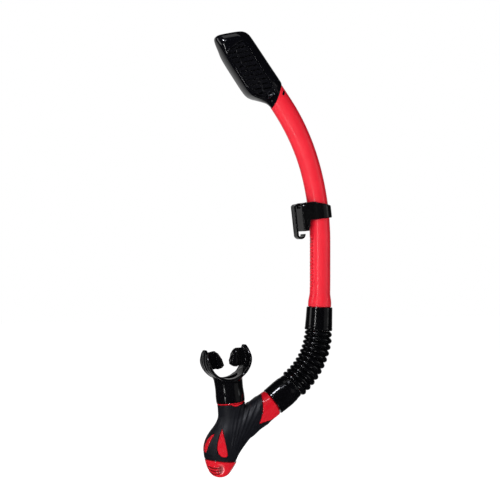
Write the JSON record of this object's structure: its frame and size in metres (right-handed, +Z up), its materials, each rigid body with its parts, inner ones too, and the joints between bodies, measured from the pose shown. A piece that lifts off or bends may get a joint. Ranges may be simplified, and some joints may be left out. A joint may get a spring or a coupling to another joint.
{
  "type": "snorkel",
  "caption": "J-shaped snorkel tube with a louvred dry top, sliding strap keeper, corrugated hose, two-tone purge chamber and a silicone mouthpiece.",
  "frame": {"origin": "middle of the slot in the strap clip, where the mask strap holds the snorkel", "axes": "+Z up along the straight part of the tube, +X from the strap clip to the tube, +Y across the plane in which the tube curves"},
  "size_m": [0.1411, 0.0392, 0.4651],
  "materials": {
    "red_plastic": "glossy red moulded plastic",
    "hood_black": "high gloss black plastic",
    "keeper_black": "satin black plastic",
    "inner_plastic": "plain dark grey plastic",
    "silicone_black": "polished black silicone",
    "grip_rubber": "matt blue-black soft-touch rubber",
    "valve_silicone": "translucent grey silicone",
    "pin_steel": "stainless steel"
  },
  "bodies": {
    "keeper": {"keeper_band": "keeper_black", "gate_pin": "pin_steel"},
    "clip": {"strap_gate": "keeper_black"},
    "tube": {"upper_tube": "red_plastic", "dry_top_hood": "hood_black", "louvre_near": "hood_black", "louvre_far": "hood_black", "inlet_duct": "inner_plastic", "seat_ring": "silicone_black", "hose_cuff_upper": "silicone_black"},
    "float": {"float": "inner_plastic", "float_pad": "silicone_black"},
    "hose": {"hose_bellows": "silicone_black"},
    "lower": {"hose_cuff_lower": "silicone_black", "lower_body": "red_plastic", "overmould_grip": "grip_rubber", "purge_seat": "inner_plastic", "purge_seal": "silicone_black", "purge_cap": "red_plastic"},
    "valve": {"purge_valve": "valve_silicone"},
    "mouth": {"mouthpiece": "silicone_black"}
  },
  "joints": [
    {"name": "keeper_slide", "type": "slide", "parent": "keeper", "child": "tube", "axis": [-0.04, 0, 0.9992], "range_m": [0, 0.05]},
    {"name": "clip_hinge", "type": "hinge", "parent": "keeper", "child": "clip", "pos_m": [0.00302, 0, 0.01382], "axis": [0, 1, 0], "range_deg": [0, 35], "stiffness_Nm_per_rad": 0.03, "springref_deg": -11.46},
    {"name": "float_slide", "type": "slide", "parent": "tube", "child": "float", "axis": [-0.5736, 0, 0.8192], "range_m": [0, 0.006]},
    {"name": "hose_bend", "type": "hinge", "parent": "tube", "child": "hose", "pos_m": [0.01988, 0, -0.13469], "axis": [0, 1, 0], "range_deg": [-28, 18], "stiffness_Nm_per_rad": 0.35, "springref_deg": 14.9, "deforming": ["hose_bellows"]},
    {"name": "hose_side_bend", "type": "hinge", "parent": "hose", "child": "lower", "pos_m": [0.00506, 0, -0.16393], "axis": [0.7849, 0, -0.6197], "range_deg": [-20, 20], "stiffness_Nm_per_rad": 0.35},
    {"name": "purge_lift", "type": "slide", "parent": "lower", "child": "valve", "axis": [-0.1045, 0, -0.9945], "range_m": [0, 0.002], "stiffness_N_per_m": 60, "springref_m": -0.0005},
    {"name": "mouthpiece_turn", "type": "hinge", "parent": "lower", "child": "mouth", "pos_m": [-0.0735, 0, -0.1926], "axis": [-0.1167, 0, 0.9932], "range_deg": [-45, 45]}
  ]
}
